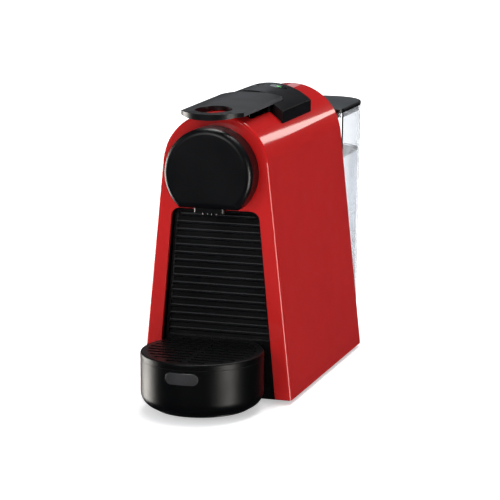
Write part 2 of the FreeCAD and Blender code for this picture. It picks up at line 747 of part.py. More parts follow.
def make_yokes():
    """Each yoke carries a follower in the lever's cam and a guide pin in the brew frame."""
    for name, side in (("cage_yoke_left", -1), ("cage_yoke_right", 1)):
        inner, outer = sorted(("%d * yoke_inner" % side, "%d * yoke_outer" % side), key=val)
        arm = box((inner, "yoke_y - 4", "yoke_low"), (outer, "yoke_y + 4", "yoke_high"))
        arm = soften(arm, "1.5", lambda e: along(e, "x"))
        pin_low, pin_high = sorted(("%d * (cam_inner - 0.6)" % side, "%d * yoke_inner" % side),
                                   key=val)
        follower = rod("x", "follower_radius", ("yoke_y", "follower_z"), pin_low, pin_high)
        guide_low, guide_high = sorted(("%d * yoke_outer" % side,
                                        "%d * (frame_outer - 0.2)" % side), key=val)
        guide = rod("x", "follower_radius", ("yoke_y", "head_z"), guide_low, guide_high)
        keep(fuse(arm, follower, guide), name)


def make_capsule_chute():
    """Guides the capsule down from the slot in the housing to the cage."""
    outside = "(slot_half - 0.3)"
    inside = "(slot_half - 0.3 - chute_wall)"
    outer = box(("-" + outside, "chute_front", "chute_low"), (outside, "chute_rear", "chute_top"))
    inner = box(("-" + inside, "chute_front + chute_wall", "chute_low - 1"),
                (inside, "chute_rear + 1", "chute_top + 1"))
    keep(cut(outer, inner), "capsule_chute")


# ---------------------------------------------------------------- frame, base and tray unit

SCREW_ROWS = ("-70", "-4")


def make_chassis():
    for name, side in (("chassis_left", -1), ("chassis_right", 1)):
        inner, outer = sorted(("%d * chassis_inner" % side, "%d * chassis_outer" % side), key=val)
        foot_low, foot_high = sorted(("%d * chassis_inner" % side, "%d * 38" % side), key=val)
        wall_plate = box((inner, "chassis_front", "base_top"),
                         (outer, "chassis_rear", "chassis_top"))
        foot = box((foot_low, "chassis_front", "base_top"), (foot_high, "chassis_rear", "8"))
        holes = [rod("z", "1.5", ("%d * screw_x" % side, y), "4", "9") for y in SCREW_ROWS]
        keep(cut(fuse(wall_plate, foot), *holes), name)


def make_base_plate():
    plate = body()
    half, side = "(body_half - wall - 0.8)", "(tank_half_low - 1.5)"
    turn, rear = "(tank_corner - 3)", "tank_rear - 3"
    step = "rear_y - 1"

    def plan(flat):
        outline(flat, [("-" + half, "tray_back + 0.5"), (half, "tray_back + 0.5"), (half, step),
                       (side, step), (side, "%s - %s" % (rear, turn), turn, True),
                       ("%s - %s" % (side, turn), rear),
                       ("%s - %s" % (turn, side), rear, turn, True),
                       ("-" + side, "%s - %s" % (rear, turn)), ("-" + side, step),
                       ("-" + half, step)])
    extrude(plate, "XY_Plane", "base_low", "base_top", plan)
    for x in ("-screw_x", "screw_x"):
        for y in SCREW_ROWS:
            pocket(plate, "XY_Plane", "base_low", "base_top", disc(x, y, "1.5"))
            pocket(plate, "XY_Plane", "base_low", "base_low + 2", disc(x, y, "3.2"))
    keep(plate, "base_plate")


FOOT_PLACES = [("-44", "-76"), ("44", "-76"), ("-44", "74"), ("44", "74"), ("0", "148")]


def make_feet():
    feet = [rod("z", "6", place, "0", "base_low") for place in FOOT_PLACES]
    keep(group(*feet), "feet")


def make_base_screws():
    screws = []
    for x in ("-screw_x", "screw_x"):
        for y in SCREW_ROWS:
            head = rod("z", "2.9", (x, y), "base_low + 0.2", "base_low + 2")
            screws.append(fuse(head, rod("z", "1.4", (x, y), "base_low + 1", "8")))
    keep(group(*screws), "base_screws")


def make_capsule_container():
    unit = body()
    extrude(unit, "XZ_Plane", "front_y_face", "front_y_face + 4.1",
            niche("front_fit", "front_low"))
    pocket(unit, "XZ_Plane", "front_y_face - 1", "front_y_face + 1.7",
           niche("front_fit + 1.8", "grid_top + 1"))
    pocket(unit, "XZ_Plane", "front_y_face - 1", "front_y_face + 5",
           rectangle("-24.4", "front_low - 1", "24.4", "bin_low - 0.1"))
    extrude(unit, "XY_Plane", "bin_low", "bin_top",
            rectangle("-bin_half", "front_y_face + 4", "bin_half", "bin_rear"))
    pocket(unit, "XY_Plane", "bin_low + bin_wall", "bin_top + 1",
           rectangle("-bin_half + bin_wall", "front_y_face + 4.1", "bin_half - bin_wall",
                     "bin_rear - bin_wall"))
    for number in range(int(val("rib_count"))):
        low = "rib_low + %d * rib_pitch" % number
        half = ("(niche_high + (niche_knee - (%s)) * (niche_low - niche_high)"
                " / (niche_knee - skirt_z) - front_fit - 1.6)" % low)
        if val(low) > val("niche_knee") - 4:
            half = "(%s - 2.2)" % half

        def rib(flat):
            outline(flat, [("front_y_face + 0.5", low), ("front_y_face + 1.8", low + " - 1"),
                           ("front_y_face + 1.8", low + " + 1.6"),
                           ("front_y_face + 0.5", low + " + 1.4")])
        extrude(unit, "YZ_Plane", "-%s" % half, half, rib)
    keep(unit, "capsule_container")


def tray_profile(flat):
    """Half of the cup's section: a small foot, a round bowl and a straight wall."""
    outline(flat, [("0", "tray_low"), ("tray_foot", "tray_low"), ("tray_foot", "tray_low + 1"),
                   ("tray_foot + 1.6", "tray_low + 1.3", "tray_bowl", True),
                   ("tray_radius", "tray_low + tray_bowl + 0.8"), ("tray_radius", "tray_top"),
                   ("tray_radius - tray_wall", "tray_top"),
                   ("tray_radius - tray_wall", "tray_floor + 6"), ("tray_foot", "tray_floor"),
                   ("0", "tray_floor")])


def make_drip_tray():
    tray = body()
    flat = sketch(tray, "YZ_Plane", "0")
    tray_profile(flat)
    cup = tray.newObject("PartDesign::Revolution", "Revolution")
    cup.Profile = flat
    cup.ReferenceAxis = (flat, ["V_Axis"])
    cup.Angle = 360
    bind(tray, "Placement.Base.y", "tray_y")
    doc.recompute()
    behind = "tray_back - tray_y"
    pocket(tray, "XY_Plane", "0", "grid_top", rectangle("-50", behind, "50", "60"))
    chord = "sqrt((tray_radius - 1)^2 - (%s)^2)" % behind
    inner = "sqrt((tray_radius - 1)^2 - (%s - tray_wall)^2)" % behind
    extrude(tray, "XY_Plane", "tray_floor - 2", "tray_top",
            lambda flat: outline(flat, [("-" + chord, behind), ("-" + inner,
                                                                behind + " - tray_wall"),
                                        (inner, behind + " - tray_wall"), (chord, behind)]))
    extrude(tray, "XY_Plane", "base_top + 0.6", "bin_low - 0.3",
            rectangle("-24", behind + " - 5", "24", "bin_rear - 3 - tray_y"))
    keep(tray, "drip_tray")


def make_drip_grid():
    grid = body()
    behind = "(tray_back - 0.3 - tray_y)"
    end = "sqrt(tray_radius^2 - %s^2)" % behind

    def plan(flat):
        outline(flat, [("-" + end, behind, "tray_radius", True),
                       ("-tray_radius", "0", "tray_radius", True),
                       ("0", "-tray_radius", "tray_radius", True),
                       ("tray_radius", "0", "tray_radius", True), (end, behind)])
    bind(grid, "Placement.Base.y", "tray_y")
    extrude(grid, "XY_Plane", "grid_low", "grid_top", plan)
    top = val("grid_top")
    rounded(grid, "1.2", lambda e: flat_at(e, "z", top) and e.Curve.TypeId == "Part::GeomCircle")
    inside = "(tray_radius - grid_rim)"
    count = 5
    for number in range(-count, count + 1):
        low = "(%d * grid_pitch - grid_slot / 2)" % number
        if val(low + " + grid_slot") > val(behind) - 3:
            continue
        far = low if number < 0 else "(%s + grid_slot)" % low
        half = "(sqrt(%s^2 - %s^2) - 1)" % (inside, far)
        for left, right in (("-" + half, "-1.6"), ("1.6", half)):
            pocket(grid, "XY_Plane", "grid_low", "grid_top",
                   rectangle(left, low, right, low + " + grid_slot"))
    keep(grid, "drip_grid")


def make_badge_plate():
    """A plain curved plate with round ends and no lettering, on the tray's front."""
    ring = cut(rod("z", "tray_radius + 0.35", ("0", "tray_y"), "badge_z - 5", "badge_z + 5"),
               rod("z", "tray_radius + 0.02", ("0", "tray_y"), "badge_z - 6", "badge_z + 6"))
    front, back = "tray_y - tray_radius - 2", "tray_y - 20"
    middle = box(("badge_round - badge_half", front, "badge_z - badge_round"),
                 ("badge_half - badge_round", back, "badge_z + badge_round"))
    ends = [rod("y", "badge_round", (x, "badge_z"), front, back)
            for x in ("badge_round - badge_half", "badge_half - badge_round")]
    keep(common(ring, fuse(middle, *ends)), "badge_plate")


# ---------------------------------------------------------------- tank

def make_tank():
    tank = body()
    draft = "atan((tank_half_top - tank_half_low) / (tank_top - tank_low))"
    rise = "(tank_half_top - tank_half_low)"
    outer = extrude(tank, "XY_Plane", "tank_low", "tank_top",
                    tongue("tank_front + " + rise, "tank_half_low", "tank_rear - " + rise, rise))
    bind(outer, "TaperAngle", draft)
    inner = pocket(tank, "XY_Plane", "tank_floor", "tank_top + 1",
                   tongue("tank_front + tank_wall + " + rise, "tank_half_low - tank_wall",
                          "tank_rear - tank_wall - " + rise, "tank_wall + " + rise))
    bind(inner, "TaperAngle", draft)
    doc.recompute()
    pocket(tank, "XY_Plane", "tank_low - 1", "tank_low + 4", disc("valve_x", "valve_y", "5.1"))
    for side in (-1, 1):
        low, high = sorted(("%d * 15.8" % side, "%d * 18.8" % side), key=val)

        def ear(flat):
            outline(flat, [("tank_front", "hinge_z - 6"), ("hinge_y + lid_knuckle", "hinge_z - 4"),
                           ("hinge_y + lid_knuckle", "hinge_z", "lid_knuckle", True),
                           ("hinge_y", "hinge_z + lid_knuckle"),
                           ("tank_front", "hinge_z + lid_knuckle")])
        extrude(tank, "YZ_Plane", low, high, ear)
    pocket(tank, "YZ_Plane", "-18.8", "18.8", disc("hinge_y", "hinge_z", "lid_pin_radius"))
    keep(tank, "water_tank")


def make_tank_lid():
    lid = body()
    extrude(lid, "XY_Plane", "lid_low", "lid_top",
            tongue("hinge_y", "tank_half_top + 0.2", "lid_rear", "0"))
    top, front = val("lid_top"), val("hinge_y")
    rounded(lid, "1", lambda e: flat_at(e, "z", top) and not flat_at(e, "y", front))
    inset, skirt_wall = "(tank_wall + 0.5)", "1.6"
    skirt_half, skirt_rear = "tank_half_top - " + inset, "tank_rear - " + inset
    extrude(lid, "XY_Plane", "lid_skirt", "lid_low",
            tongue("hinge_y + 3", skirt_half, skirt_rear, inset))
    pocket(lid, "XY_Plane", "lid_skirt", "lid_low",
           tongue("hinge_y + 3 + " + skirt_wall, "%s - %s" % (skirt_half, skirt_wall),
                  "%s - %s" % (skirt_rear, skirt_wall), "%s + %s" % (inset, skirt_wall)))
    for side in (-1, 1):
        low, high = sorted(("%d * 15.4" % side, "%d * 19.2" % side), key=val)
        pocket(lid, "XY_Plane", "lid_skirt", "lid_top",
               rectangle(low, "tank_front", high, "hinge_y + 2.5"))
    extrude(lid, "YZ_Plane", "-15.4", "15.4", disc("hinge_y", "hinge_z", "lid_knuckle"))
    pocket(lid, "YZ_Plane", "-16", "16", disc("hinge_y", "hinge_z", "lid_pin_radius + running_gap"))
    keep(lid, "tank_lid")


def make_lid_pin():
    keep(rod("x", "lid_pin_radius", ("hinge_y", "hinge_z"), "-18.7", "18.7"), "lid_pin")


def make_tank_valve():
    stem = rod("z", "5", ("valve_x", "valve_y"), "tank_low - 6.8", "tank_low + 7")
    collar = rod("z", "7.4", ("valve_x", "valve_y"), "tank_floor", "tank_floor + 2")
    bore = rod("z", "2.6", ("valve_x", "valve_y"), "tank_low - 8", "tank_low + 8")
    keep(cut(fuse(stem, collar), bore), "tank_valve")


def make_tank_dock():
    dock = body()
    extrude(dock, "XY_Plane", "base_top", "dock_top",
            tongue("tank_front - 0.9", "tank_half_low - 0.6", "tank_rear - 2.6", "2"))
    pocket(dock, "XY_Plane", "dock_top - 8.4", "dock_top + 1", disc("valve_x", "valve_y", "7.6"))
    extrude(dock, "XZ_Plane", "74", "tank_front - 0.8", disc("valve_x", "inlet_z", "4"))
    pocket(dock, "XZ_Plane", "73", "valve_y", disc("valve_x", "inlet_z", "2"))
    keep(dock, "tank_dock")


def make_dock_seal():
    ring = rod("z", "7.5", ("valve_x", "valve_y"), "dock_top - 3.4", "dock_top - 0.2")
    keep(cut(ring, rod("z", "5.3", ("valve_x", "valve_y"), "10", "20")), "dock_seal")


# ---------------------------------------------------------------- buttons and electronics

def make_buttons():
    for name, x in (("espresso_button", "-button_x"), ("lungo_button", "button_x")):
        stem = rod("z", "button_radius", (x, "button_y"), "saddle_radius + arch_z - 4", "208")
        skin = rod("y", "saddle_radius - 0.1", ("0", "arch_z"), "button_y - 10", "button_y + 10")
        cap = common(stem, skin)
        plunger = rod("z", "1.8", (x, "button_y"), "board_z + 3.3", "saddle_radius + arch_z - 3")
        window = rod("z", "2.6", (x, "button_y"), "saddle_radius + arch_z - 2.6", "208")
        keep(cut(fuse(cap, plunger), window), name)


def make_button_icons():
    """Small lit windows, one in the middle of each button."""
    for name, x in (("espresso_icon", "-button_x"), ("lungo_icon", "button_x")):
        disc_part = rod("z", "2.5", (x, "button_y"), "saddle_radius + arch_z - 2.5", "208")
        skin = rod("y", "saddle_radius - 0.15", ("0", "arch_z"), "button_y - 10", "button_y + 10")
        keep(common(disc_part, skin), name)


def make_button_board():
    board = box(("-19", "button_y - 12", "board_z"), ("19", "button_y + 12", "board_z + 1.6"))
    keep(board, "button_board")
    switches = []
    for x in ("-button_x", "button_x"):
        switches.append(box((x + " - 3", "button_y - 3", "board_z + 1.6"),
                            (x + " + 3", "button_y + 3", "board_z + 2.2")))
    keep(group(*switches), "button_switches")


def make_main_board():
    keep(box(("38", "-8", "14"), ("39.6", "72", "92")), "main_board")
    relay = soften(box(("26", "10", "66"), ("37.9", "32", "84")), "1", lambda e: True)
    fuse_block = soften(box(("28", "44", "66"), ("37.9", "60", "80")), "1", lambda e: True)
    cans = [rod("x", radius, (y, z), "38 - %s" % size, "37.9")
            for radius, y, z, size in (("5", "16", "52", "13"), ("4", "16", "38", "11"))]
    keep(group(relay, fuse_block, *cans), "board_parts")


def make_cord_gland():
    sleeve = rod("y", "5.1", ("cord_x", "cord_z"), "rear_y - 7", "rear_y + 1.5")
    flange = rod("y", "5.8", ("cord_x", "cord_z"), "rear_y - 0.3", "rear_y + 2.4")
    bore = rod("y", "cord_radius", ("cord_x", "cord_z"), "rear_y - 9", "rear_y + 4")
    keep(cut(fuse(sleeve, flange), bore), "cord_gland")


# ---------------------------------------------------------------- water circuit

def make_pump():
    barrel = rod("y", "pump_radius", ("pump_x", "pump_z"), "pump_front", "pump_back")
    inlet = rod("y", "3", ("pump_x", "pump_z"), "pump_front - 5", "pump_front + 1")
    outlet = rod("z", "3", ("pump_x", "pump_back - 6"), "pump_z", "pump_z + 16")
    chamber = rod("y", "piston_radius + running_gap", ("pump_x", "pump_z"), "8", "48")
    keep(cut(fuse(barrel, inlet, outlet), chamber), "pump_body")
    keep(rod("y", "piston_radius", ("pump_x", "pump_z"), "14", "40"), "pump_piston")
    shroud = soften(box(("pump_x - 18", "12", "pump_z - 17"), ("pump_x + 18", "48", "pump_z + 17")),
                    "3", lambda e: along(e, "y"))
    keep(cut(shroud, rod("y", "pump_radius + 0.1", ("pump_x", "pump_z"), "11", "49")), "pump_coil")
    mounts = []
    for y in ("3", "53"):
        leg = box(("pump_x - 11", y, "base_top"), ("pump_x + 11", y + " + 5", "pump_z + 6"))
        mounts.append(cut(leg, rod("y", "pump_radius + 0.1", ("pump_x", "pump_z"), y + " - 1",
                                   y + " + 6")))
    keep(group(*mounts), "pump_mounts")


def make_flow_meter():
    low, place = "meter_low", ("meter_x", "meter_y")
    cup = rod("z", "meter_radius", place, low, low + " + 12")
    room = rod("z", "meter_radius - 2", place, low + " + 2", low + " + 13")
    post = rod("z", "1.2", place, low + " + 1", low + " + 11.6")
    ports = [rod("y", "3", ("meter_x", low + " + 6"), start, end)
             for start, end in (("meter_y + meter_radius - 1", "meter_y + meter_radius + 5"),
                                ("meter_y - meter_radius - 5", "meter_y - meter_radius + 1"))]
    legs = [rod("z", "3", ("meter_x", y), "base_top", low + " + 1")
            for y in ("meter_y - 8", "meter_y + 8")]
    keep(fuse(cut(cup, room), post, *ports, *legs), "flow_meter_body")
    lid = rod("z", "meter_radius", place, low + " + 12.1", low + " + 14")
    keep(lid, "flow_meter_lid")
    hub = rod("z", "3.4", place, low + " + 2.6", low + " + 11")
    blades = [box(("meter_x - 10", "meter_y - 0.6", low + " + 3"),
                  ("meter_x + 10", "meter_y + 0.6", low + " + 10.4")),
              box(("meter_x - 0.6", "meter_y - 10", low + " + 3"),
                  ("meter_x + 0.6", "meter_y + 10", low + " + 10.4"))]
    bore = rod("z", "1.2 + running_gap", place, low, low + " + 14")
    keep(cut(fuse(hub, *blades), bore), "flow_impeller")


def make_hoses():
    keep(tube([("valve_x", "73.9", "inlet_z"), ("valve_x", "66", "inlet_z"), ("meter_x", "66", "24"),
               ("meter_x", "59.1", "24")], 4, 3.2), "inlet_hose")
    keep(tube([("meter_x", "20.9", "24"), ("meter_x", "-15", "24"), ("pump_x", "-15", "pump_z"),
               ("pump_x", "-5.1", "pump_z")], 4, 5.2), "pump_hose")
    keep(tube([("pump_x", "pump_back - 6", "pump_z + 16.1"), ("pump_x", "pump_back - 6", "80"),
               ("pump_x + 2", "pump_back - 6", "heater_low - 4.1")], 3.2, 30), "pressure_hose")
    keep(tube([("0", "34", "heater_top + 0.1"), ("0", "34", "head_z"), ("0", "-14", "head_z")],
              val("tube_radius"), 9), "injector_pipe")


def make_heater():
    block = soften(box(("-26", "10", "heater_low"), ("26", "68", "heater_top")), "5",
                   lambda e: along(e, "z"))
    inlet = rod("z", "3", ("pump_x + 2", "pump_back - 6"), "heater_low - 4", "heater_low + 1")
    fins = [box(("-24", y, "heater_top - 1"), ("-8", y + " + 2", "heater_top + 3"))
            for y in ("18", "26", "34", "42", "50")]
    keep(fuse(block, inlet, *fins), "thermoblock")
    cap = rod("z", "6", ("14", "50"), "heater_top + 0.1", "heater_top + 5")
    keep(cap, "thermal_fuse")
    posts = []
    for x in ("-29.1", "26.1"):
        posts.append(box((x, "61", "base_top"), (x + " + 3", "67", "heater_top - 8")))
    keep(group(*posts), "heater_posts")


# ---------------------------------------------------------------- build, check and export

MAKERS = [
    make_housing, make_rear_panel, make_niche_frame, make_brew_head_cover, make_coffee_outlet,
    make_outlet_channel, make_saddle, make_lever, make_lever_cams, make_lever_pin,
    make_brew_frames, make_brew_front_block, make_extraction_plate, make_brew_seal,
    make_capsule_cage, make_piercing_needles, make_yokes, make_capsule_chute, make_chassis,
    make_base_plate, make_feet, make_base_screws, make_capsule_container, make_drip_tray,
    make_drip_grid, make_badge_plate, make_tank, make_tank_lid, make_lid_pin, make_tank_valve,
    make_tank_dock, make_dock_seal, make_buttons, make_button_icons, make_button_board,
    make_main_board, make_cord_gland, make_pump, make_flow_meter, make_hoses, make_heater,
]

for maker in MAKERS:
    maker()
doc.recompute()

faults = [thing.Label + " " + str(thing.State) for thing in doc.Objects
          if "Invalid" in thing.State or "Error" in thing.State]
for piece in pieces:
    shape = piece.Shape
    if shape.isNull() or not shape.isValid() or not shape.Solids:
        faults.append(piece.Label + " has a bad shape")
if faults:
    sys.exit("\n".join(faults))

os.makedirs("parts", exist_ok=True)
whole = FreeCAD.BoundBox()
for piece in pieces:
    piece.Shape.exportStep("parts/%s.step" % piece.Label)
    whole.add(piece.Shape.BoundBox)
    print("%-20s solids %d  volume %9.1f" % (piece.Label, len(piece.Shape.Solids),
                                            piece.Shape.Volume))
print(len(pieces), "sub-parts, box", whole)
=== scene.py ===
import json
import math

import bmesh
import bpy
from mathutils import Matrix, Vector


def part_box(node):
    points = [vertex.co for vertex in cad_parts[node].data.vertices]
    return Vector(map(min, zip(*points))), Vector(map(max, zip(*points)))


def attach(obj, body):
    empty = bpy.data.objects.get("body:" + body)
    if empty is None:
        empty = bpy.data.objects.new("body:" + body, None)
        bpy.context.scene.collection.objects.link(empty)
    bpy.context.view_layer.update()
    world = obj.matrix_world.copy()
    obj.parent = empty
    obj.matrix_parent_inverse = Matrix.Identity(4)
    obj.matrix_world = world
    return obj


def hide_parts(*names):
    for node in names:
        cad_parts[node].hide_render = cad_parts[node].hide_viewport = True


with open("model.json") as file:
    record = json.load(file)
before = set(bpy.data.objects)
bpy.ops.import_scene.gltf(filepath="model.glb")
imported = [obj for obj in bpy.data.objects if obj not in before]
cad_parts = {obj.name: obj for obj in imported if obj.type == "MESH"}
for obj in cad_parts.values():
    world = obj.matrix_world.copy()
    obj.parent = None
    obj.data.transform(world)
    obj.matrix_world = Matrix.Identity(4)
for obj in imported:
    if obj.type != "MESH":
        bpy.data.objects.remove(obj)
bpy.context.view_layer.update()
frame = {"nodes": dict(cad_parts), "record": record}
NODES = frame["nodes"]
SLOT_OF = {part["node"]: part["material_slot"] for part in frame["record"]["subparts"]}
BODY_OF = {node: body for body, nodes in frame["record"]["behaviour"]["bodies"].items()
           for node in nodes}
scene = bpy.context.scene

MM = 0.001
# The factor, the two colours and the result among a Mix node's sockets, by their place.
MIX_FACTOR, MIX_FIRST, MIX_SECOND, MIX_RESULT = 0, 6, 7, 2


# ---------------------------------------------------------------- camera and stage

camera = bpy.data.objects.new("camera", bpy.data.cameras.new("camera"))
scene.collection.objects.link(camera)
scene.camera = camera
camera.location = (0.48370, -1.46481, 0.39898)
target = Vector((0, -0.00306, 0.08774))
camera.rotation_euler = (target - camera.location).to_track_quat("-Z", "Y").to_euler()
camera.data.sensor_width = 36
camera.data.lens = 156.05
camera.data.shift_x = -0.0128
camera.data.shift_y = 0.0006
camera.data.clip_end = 50
scene.view_settings.view_transform = "Standard"


def studio_world():
    """White to the camera, soft grey for fill light, dark in reflections."""
    world = bpy.data.worlds.new("studio")
    world.use_nodes = True
    scene.world = world
    tree = world.node_tree
    tree.nodes.clear()
    path = tree.nodes.new("ShaderNodeLightPath")
    fill = tree.nodes.new("ShaderNodeMix")
    fill.data_type = "RGBA"
    fill.inputs[MIX_FIRST].default_value = (0.42, 0.43, 0.45, 1)
    fill.inputs[MIX_SECOND].default_value = (0.02, 0.021, 0.024, 1)
    tree.links.new(path.outputs["Is Glossy Ray"], fill.inputs[MIX_FACTOR])
    seen = tree.nodes.new("ShaderNodeMath")
    seen.operation = "MAXIMUM"
    tree.links.new(path.outputs["Is Camera Ray"], seen.inputs[0])
    tree.links.new(path.outputs["Is Transmission Ray"], seen.inputs[1])
    shown = tree.nodes.new("ShaderNodeMix")
    shown.data_type = "RGBA"
    shown.inputs[MIX_SECOND].default_value = (1, 1, 1, 1)
    tree.links.new(seen.outputs[0], shown.inputs[MIX_FACTOR])
    tree.links.new(fill.outputs[MIX_RESULT], shown.inputs[MIX_FIRST])
    background = tree.nodes.new("ShaderNodeBackground")
    tree.links.new(shown.outputs[MIX_RESULT], background.inputs["Color"])
    output = tree.nodes.new("ShaderNodeOutputWorld")
    tree.links.new(background.outputs[0], output.inputs[0])


LIGHT_AIM = Vector((0, -0.02, 0.1))
WARM, COOL = (1, 0.96, 0.90), (0.86, 0.93, 1.0)


def panel(name, place, size, power, colour=(1, 1, 1), card=False):
    """A soft light aimed at the machine. A card is only seen as a reflection."""
    light = bpy.data.lights.new(name, "AREA")
    light.shape = "RECTANGLE"
    light.size, light.size_y = size
    light.energy = power
    light.color = colour
    lamp = bpy.data.objects.new(name, light)
    scene.collection.objects.link(lamp)
    lamp.location = place
    lamp.rotation_euler = (LIGHT_AIM - lamp.location).to_track_quat("-Z", "Y").to_euler()
    lamp.visible_camera = False
    lamp.visible_transmission = False
    lamp.visible_diffuse = not card


studio_world()
panel("top_softbox", (0.1, 0.35, 1.5), (1.0, 1.0), 25, (1, 0.99, 0.97))
panel("front_fill", (-0.5, -2.2, 1.0), (0.9, 0.7), 12)
panel("left_card", (-1.75, 0.35, -0.2), (1.0, 1.2), 46, WARM, card=True)
panel("right_card", (1.75, -0.85, -0.30), (0.8, 1.1), 30, WARM, card=True)
panel("rear_card", (1.75, 6.0, 1.55), (0.36, 0.9), 3.4, WARM, card=True)
panel("sky_card", (-2.0, 6.0, 1.6), (1.2, 1.2), 2.6, COOL, card=True)


# ---------------------------------------------------------------- materials

class Recipe:
    """A node material under construction."""

    def __init__(self, name):
        self.material = bpy.data.materials.new(name)
        self.material.use_nodes = True
        self.tree = self.material.node_tree
        self.shader = self.tree.nodes["Principled BSDF"]
        self.place = self.add("ShaderNodeTexCoord").outputs["Object"]

    def add(self, kind, **settings):
        node = self.tree.nodes.new(kind)
        for key, value in settings.items():
            setattr(node, key, value)
        return node

    def link(self, start, end):
        self.tree.links.new(start, end)

    def set(self, **values):
        for key, value in values.items():
            self.shader.inputs[key.replace("_", " ")].default_value = value

    def noise(self, scale, detail=3, rough=0.5, stretch=None):
        """Noise over the row frame; scale is in features per metre."""
        node = self.add("ShaderNodeTexNoise")
        node.inputs["Scale"].default_value = scale
        node.inputs["Detail"].default_value = detail
        node.inputs["Roughness"].default_value = rough
        source = self.place
        if stretch:
            mapping = self.add("ShaderNodeMapping")
            mapping.inputs["Scale"].default_value = stretch
            self.link(source, mapping.inputs["Vector"])
            source = mapping.outputs[0]
        self.link(source, node.inputs["Vector"])
        return node.outputs["Fac"]

    def ranged(self, value, low, high, start=0.3, end=0.7):
        node = self.add("ShaderNodeMapRange")
        node.inputs["From Min"].default_value = start
        node.inputs["From Max"].default_value = end
        node.inputs["To Min"].default_value = low
        node.inputs["To Max"].default_value = high
        self.link(value, node.inputs["Value"])
        return node.outputs[0]

    def math(self, operation, first, second):
        node = self.add("ShaderNodeMath", operation=operation)
        for socket, value in zip(node.inputs, (first, second)):
            if isinstance(value, (int, float)):
                socket.default_value = value
            else:
                self.link(value, socket)
        return node.outputs[0]

    def mix(self, factor, first, second):
        """A colour blend; first and second are colours or sockets."""
        node = self.add("ShaderNodeMix", data_type="RGBA")
        self.link(factor, node.inputs[MIX_FACTOR])
        for socket, value in ((node.inputs[MIX_FIRST], first), (node.inputs[MIX_SECOND], second)):
            if isinstance(value, tuple):
                socket.default_value = (*value, 1)
            else:
                self.link(value, socket)
        return node.outputs[MIX_RESULT]

    def bump(self, height, strength, distance, before=None):
        node = self.add("ShaderNodeBump")
        node.inputs["Strength"].default_value = strength
        node.inputs["Distance"].default_value = distance
        self.link(height, node.inputs["Height"])
        if before:
            self.link(before, node.inputs["Normal"])
        return node.outputs[0]

    def edges(self, radius):
        """A mask that is 1 along sharp edges, from how far the rounded normal turns there."""
        bevel = self.add("ShaderNodeBevel", samples=4)
        bevel.inputs["Radius"].default_value = radius
        geometry = self.add("ShaderNodeNewGeometry")
        dot = self.add("ShaderNodeVectorMath", operation="DOT_PRODUCT")
        self.link(bevel.outputs[0], dot.inputs[0])
        self.link(geometry.outputs["Normal"], dot.inputs[1])
        return self.ranged(dot.outputs["Value"], 1, 0, 0.86, 0.995)

    def colour(self, socket):
        self.link(socket, self.shader.inputs["Base Color"])

    def rough(self, socket):
        self.link(socket, self.shader.inputs["Roughness"])

    def normal(self, socket):
        self.link(socket, self.shader.inputs["Normal"])


def red_gloss():
    """High-gloss moulded plastic: deep red, a clear skin, faint orange peel and fine dust."""
    r = Recipe("red_gloss_plastic")
    r.colour(r.mix(r.ranged(r.noise(22, 2), 0, 1), (0.465, 0.0090, 0.0085),
                   (0.485, 0.0100, 0.0095)))
    dust = r.ranged(r.noise(2600, 1), 0, 0.08, 0.70, 0.76)
    r.rough(r.math("ADD", r.ranged(r.noise(45, 3), 0.30, 0.36), dust))
    r.set(Coat_Weight=0.9, Coat_Roughness=0.05, Coat_IOR=1.5, Specular_IOR_Level=0.1)
    peel = r.bump(r.noise(380, 2), 0.04, 0.0005)
    r.normal(r.bump(r.noise(2400, 2), 0.03, 0.0001, peel))
    return r.material


# edge is the paler colour laid along sharp edges: partly wear, partly a painted edge highlight.
def black_plastic(name, colour=(0.0024, 0.0026, 0.0034), rough=0.34, grain=0.08, coat=0.0,
                  level=0.4, edge=(0.018, 0.019, 0.021)):
    """Moulded black plastic with a fine eroded grain, uneven sheen, and sharp edges painted paler:
    partly wear, partly a painted highlight.
    """
    r = Recipe(name)
    # Paler edges: the sharp-edge mask, broken up by noise, blends in the edge colour. This is
    # partly wear and partly a painted highlight along the edges.
    wear_and_painted_highlight = r.math("MULTIPLY", r.edges(0.0005), r.ranged(r.noise(140, 4), 0.35, 0.8))
    cloud = r.noise(35, 3)
    base = r.mix(r.ranged(cloud, 0, 1), colour, tuple(c * 1.35 for c in colour))
    r.colour(r.mix(wear_and_painted_highlight, base, edge))
    sheen = r.ranged(cloud, rough - 0.035, rough + 0.045)
    scuff = r.ranged(r.noise(420, 4, 0.7), 0, 0.05, 0.6, 0.75)
    r.rough(r.math("ADD", sheen, scuff))
    r.set(Specular_IOR_Level=level, Coat_Weight=coat, Coat_Roughness=0.12)
    r.normal(r.bump(r.noise(3200, 2, 0.6), grain, 0.00008))
    return r.material


def rubber():
    r = Recipe("rubber")
    r.colour(r.mix(r.ranged(r.noise(300, 4), 0, 1), (0.012, 0.012, 0.012), (0.03, 0.03, 0.029)))
    r.rough(r.ranged(r.noise(90, 3), 0.7, 0.9))
    r.normal(r.bump(r.noise(2600, 2), 0.25, 0.0002))
    return r.material


def metal(name, colour, rough, stretch, brush=0.25):
    """Brushed or cast metal; stretch sets which way the brush marks run."""
    r = Recipe(name)
    lines = r.noise(1500, 3, 0.6, stretch)
    r.colour(r.mix(r.ranged(lines, 0, 1), tuple(c * 0.82 for c in colour), colour))
    stain = r.ranged(r.noise(60, 3), 0, 0.08)
    r.rough(r.math("ADD", r.ranged(lines, rough - 0.06, rough + 0.08), stain))
    r.set(Metallic=1)
    r.normal(r.bump(lines, brush, 0.00008))
    return r.material


def see_through(name, clear, edge, ior, haze):
    """A clear material that darkens where it is seen edge-on."""
    r = Recipe(name)
    facing = r.add("ShaderNodeLayerWeight")
    facing.inputs["Blend"].default_value = 0.35
    tint = r.mix(r.ranged(r.noise(30, 3), 0, 1), clear, tuple(c * 0.985 for c in clear))
    r.colour(r.mix(facing.outputs["Facing"], tint, edge))
    r.set(Transmission_Weight=1, IOR=ior)
    r.rough(r.ranged(r.noise(50, 3), haze, haze * 2.5))
    r.normal(r.bump(r.noise(40, 2), 0.02, 0.0008))
    return r.material


